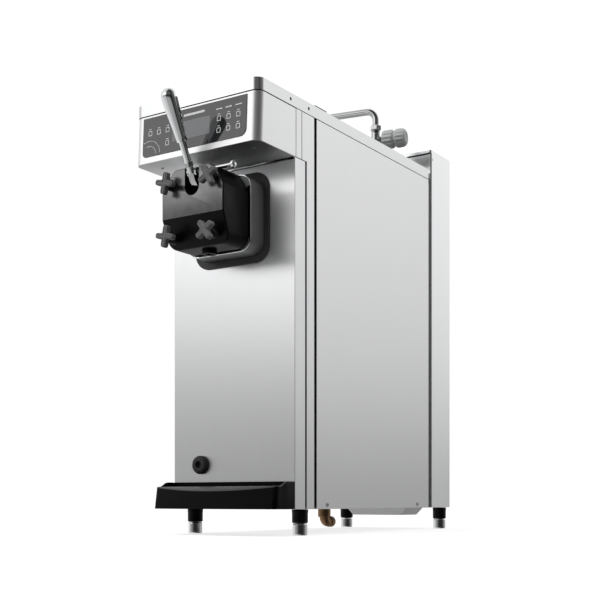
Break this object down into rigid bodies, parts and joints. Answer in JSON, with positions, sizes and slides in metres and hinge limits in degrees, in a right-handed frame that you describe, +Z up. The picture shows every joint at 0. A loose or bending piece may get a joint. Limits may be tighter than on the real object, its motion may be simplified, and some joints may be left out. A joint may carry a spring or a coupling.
{
  "type": "ice cream maker",
  "caption": "Countertop soft-serve ice cream maker: tall steel cabinet, overhanging control head, black dispensing door with draw lever and star knobs, drip tray, top tap and levelling feet.",
  "frame": {"origin": "bottom centre of the bounding box, on the surface the feet stand on", "axes": "+Z up, -Y to the front where the draw lever is, +X to the user's right"},
  "size_m": [0.262, 0.774, 0.853],
  "materials": {
    "brushed_stainless": "brushed, vertical grain",
    "polished_stainless": "polished",
    "chrome": "bright chrome",
    "black_plastic": "satin black",
    "grey_plastic": "satin dark grey",
    "tap_grey_plastic": "matte mid grey",
    "white_plastic": "food-grade plastic",
    "black_rubber": "matte",
    "brass": "tarnished",
    "membrane": "printed polyester film, satin",
    "circuit_board": "fibreglass board",
    "painted_steel": "black paint",
    "aluminium": "as cast"
  },
  "bodies": {
    "machine": {"base_pan": "brushed_stainless", "front_post_right": "brushed_stainless", "front_post_left": "brushed_stainless", "front_panel": "brushed_stainless", "side_panel_right": "brushed_stainless", "side_panel_left": "brushed_stainless", "head_box": "brushed_stainless", "lid": "brushed_stainless", "rear_duct": "brushed_stainless", "duct_grille": "brushed_stainless", "motor_shelf": "brushed_stainless", "freezing_cylinder": "polished_stainless", "hopper": "polished_stainless", "door_stud_upper_right": "polished_stainless", "door_stud_upper_left": "polished_stainless", "door_stud_lower_right": "polished_stainless", "door_stud_lower_left": "polished_stainless", "lever_pin": "chrome", "tap_body": "chrome", "foot_sleeve_front_right": "black_plastic", "foot_sleeve_front_left": "black_plastic", "foot_sleeve_rear_right": "black_plastic", "foot_sleeve_rear_left": "black_plastic", "dispensing_door": "black_plastic", "nozzle": "black_plastic", "power_inlet": "black_plastic", "feed_tube": "white_plastic", "drain_grommet": "black_rubber", "trim_ring": "black_rubber", "door_seal": "black_rubber", "shaft_seal": "black_rubber", "drive_belt": "black_rubber", "drain_elbow": "brass", "control_overlay": "membrane", "control_board": "circuit_board", "motor": "painted_steel", "compressor": "painted_steel", "fan_motor": "painted_steel", "gearbox": "aluminium", "condenser": "aluminium"},
    "draw_lever": {"draw_lever": "chrome"},
    "draw_piston": {"draw_piston": "white_plastic", "piston_ring_lower": "black_rubber", "piston_ring_upper": "black_rubber"},
    "drip_tray": {"drip_tray": "black_plastic"},
    "hopper_lid": {"hopper_lid": "polished_stainless"},
    "tap_knob": {"tap_knob": "tap_grey_plastic"},
    "tap_spout": {"tap_spout": "chrome"},
    "beater": {"beater": "white_plastic"},
    "driven_pulley": {"driven_pulley": "aluminium"},
    "motor_pulley": {"motor_pulley": "aluminium"},
    "fan": {"fan": "black_plastic"},
    "star_knob_upper_right": {"star_knob_upper_right": "grey_plastic"},
    "star_knob_upper_left": {"star_knob_upper_left": "grey_plastic"},
    "star_knob_lower_right": {"star_knob_lower_right": "grey_plastic"},
    "star_knob_lower_left": {"star_knob_lower_left": "grey_plastic"},
    "foot_front_right": {"foot_cup_front_right": "chrome"},
    "foot_front_left": {"foot_cup_front_left": "chrome"},
    "foot_rear_right": {"foot_cup_rear_right": "chrome"},
    "foot_rear_left": {"foot_cup_rear_left": "chrome"}
  },
  "joints": [
    {"name": "draw_lever_hinge", "type": "hinge", "parent": "machine", "child": "draw_lever", "pos_m": [0, -0.308, 0.602], "axis": [1, 0, 0], "range_deg": [0, 45]},
    {"name": "draw_piston_slide", "type": "slide", "parent": "machine", "child": "draw_piston", "axis": [0, 0, 1], "range_m": [0, 0.0292]},
    {"name": "drip_tray_slide", "type": "slide", "parent": "machine", "child": "drip_tray", "axis": [0, -1, 0], "range_m": [0, 0.12]},
    {"name": "hopper_lid_lift", "type": "slide", "parent": "machine", "child": "hopper_lid", "axis": [0, 0, 1], "range_m": [0, 0.05]},
    {"name": "tap_knob_turn", "type": "hinge", "parent": "machine", "child": "tap_knob", "pos_m": [0.051, 0.208, 0.785], "axis": [0.9848, 0.1736, 0], "range_deg": [0, 270]},
    {"name": "tap_spout_swivel", "type": "hinge", "parent": "machine", "child": "tap_spout", "pos_m": [0.051, 0.208, 0.82], "axis": [0, 0, 1], "range_deg": [-70, 60]},
    {"name": "star_knob_upper_right_turn", "type": "hinge", "parent": "machine", "child": "star_knob_upper_right", "pos_m": [0.0446, -0.33, 0.585], "axis": [0, 1, 0], "continuous": true},
    {"name": "star_knob_upper_left_turn", "type": "hinge", "parent": "machine", "child": "star_knob_upper_left", "pos_m": [-0.0446, -0.33, 0.585], "axis": [0, 1, 0], "continuous": true},
    {"name": "star_knob_lower_right_turn", "type": "hinge", "parent": "machine", "child": "star_knob_lower_right", "pos_m": [0.0415, -0.33, 0.496], "axis": [0, 1, 0], "continuous": true},
    {"name": "star_knob_lower_left_turn", "type": "hinge", "parent": "machine", "child": "star_knob_lower_left", "pos_m": [-0.0415, -0.33, 0.496], "axis": [0, 1, 0], "continuous": true},
    {"name": "foot_front_right_turn", "type": "hinge", "parent": "machine", "child": "foot_front_right", "pos_m": [0.114, -0.1656, 0.01], "axis": [0, 0, 1], "continuous": true},
    {"name": "foot_front_left_turn", "type": "hinge", "parent": "machine", "child": "foot_front_left", "pos_m": [-0.114, -0.1656, 0.01], "axis": [0, 0, 1], "continuous": true},
    {"name": "foot_rear_right_turn", "type": "hinge", "parent": "machine", "child": "foot_rear_right", "pos_m": [0.114, 0.369, 0.01], "axis": [0, 0, 1], "continuous": true},
    {"name": "foot_rear_left_turn", "type": "hinge", "parent": "machine", "child": "foot_rear_left", "pos_m": [-0.114, 0.369, 0.01], "axis": [0, 0, 1], "continuous": true},
    {"name": "beater_spin", "type": "hinge", "parent": "machine", "child": "beater", "pos_m": [0, -0.055, 0.541], "axis": [0, 1, 0], "continuous": true},
    {"name": "driven_pulley_spin", "type": "hinge", "parent": "machine", "child": "driven_pulley", "pos_m": [0, 0.215, 0.541], "axis": [0, 1, 0], "continuous": true},
    {"name": "motor_pulley_spin", "type": "hinge", "parent": "machine", "child": "motor_pulley", "pos_m": [0, 0.215, 0.386], "axis": [0, 1, 0], "continuous": true},
    {"name": "fan_spin", "type": "hinge", "parent": "machine", "child": "fan", "pos_m": [0, 0.215, 0.175], "axis": [0, 1, 0], "continuous": true}
  ],
  "couplings": [
    {"joint": "draw_piston_slide", "follows": "draw_lever_hinge", "m_per_rad": 0.03703},
    {"joint": "beater_spin", "follows": "driven_pulley_spin", "ratio": 0.25},
    {"joint": "motor_pulley_spin", "follows": "driven_pulley_spin", "ratio": 2}
  ]
}
